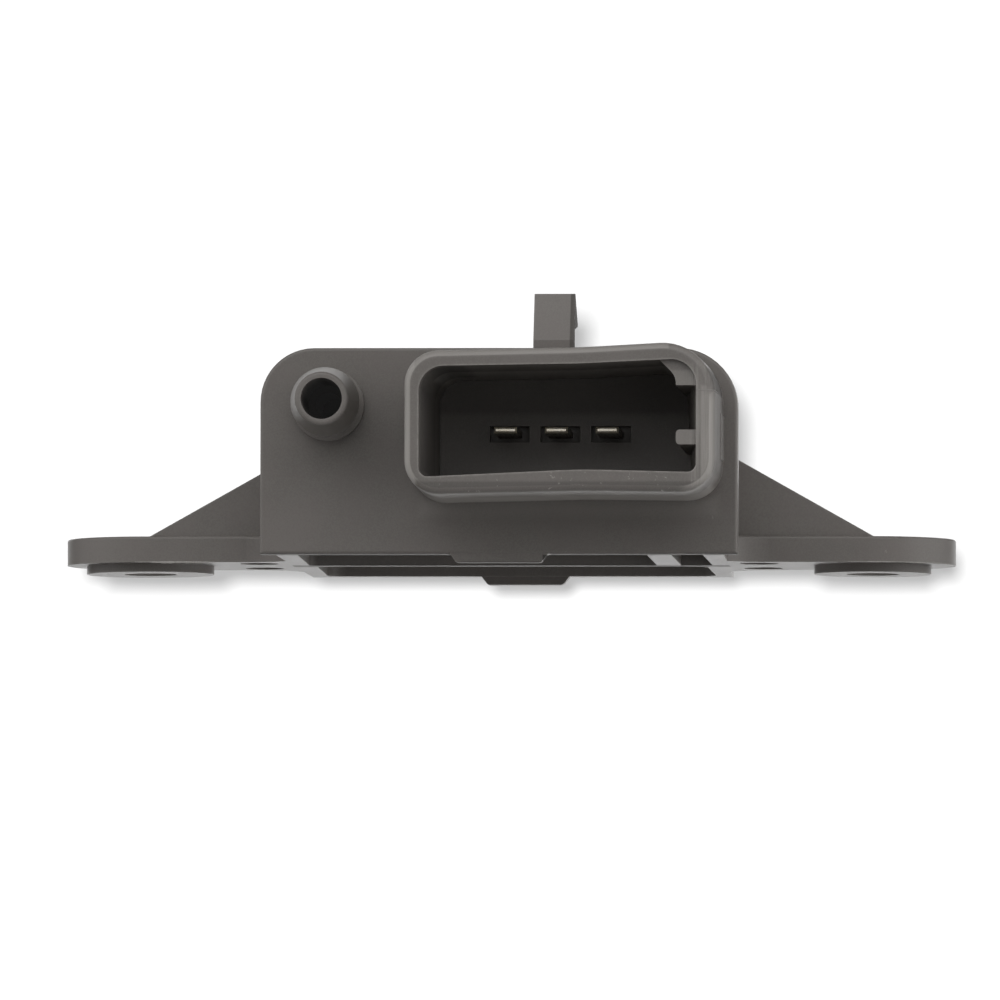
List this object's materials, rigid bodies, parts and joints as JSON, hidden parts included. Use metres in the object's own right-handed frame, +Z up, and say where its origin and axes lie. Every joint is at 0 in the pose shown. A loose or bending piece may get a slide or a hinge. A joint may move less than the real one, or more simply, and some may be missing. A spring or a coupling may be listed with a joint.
{
  "type": "manifold absolute pressure sensor",
  "caption": "Engine intake pressure sensor in a moulded housing with two mounting ears, a barbed hose nipple and a shrouded three-blade connector with a latch nose.",
  "frame": {"origin": "midway between the two mounting holes, on the mounting plane", "axes": "+X along the two mounting holes, -Y towards the connector and the hose nipple, +Z up, away from the surface the sensor is screwed to"},
  "size_m": [0.0892, 0.0645, 0.0265],
  "materials": {
    "housing_plastic": "moulded, lightly worn",
    "cover_plastic": "moulded",
    "terminal_metal": "tin plated",
    "sealant": "cured silicone",
    "board_laminate": "solder mask",
    "cell_plastic": "moulded",
    "silicon": "polished",
    "gel": "clear soft gel",
    "seal_rubber": "matte",
    "tinned_lead": "tin plated",
    "ceramic": "fired ceramic",
    "resistor_ceramic": "glazed ceramic"
  },
  "bodies": {
    "root": {"housing": "housing_plastic", "terminal_1": "terminal_metal", "terminal_2": "terminal_metal", "terminal_3": "terminal_metal", "circuit_board": "board_laminate", "cell_body": "cell_plastic", "sensing_die": "silicon", "cell_gel": "gel", "cell_cap": "cell_plastic", "cell_lead_1": "tinned_lead", "cell_lead_2": "tinned_lead", "cell_lead_3": "tinned_lead", "cell_lead_4": "tinned_lead", "port_seal": "seal_rubber", "signal_chip": "cell_plastic", "capacitor_1": "ceramic", "capacitor_2": "ceramic", "capacitor_3": "ceramic", "resistor_1": "resistor_ceramic", "resistor_2": "resistor_ceramic", "solder_joint_1": "tinned_lead", "solder_joint_2": "tinned_lead", "solder_joint_3": "tinned_lead", "chamber_cover": "cover_plastic", "cover_sealant": "sealant"}
  },
  "joints": []
}
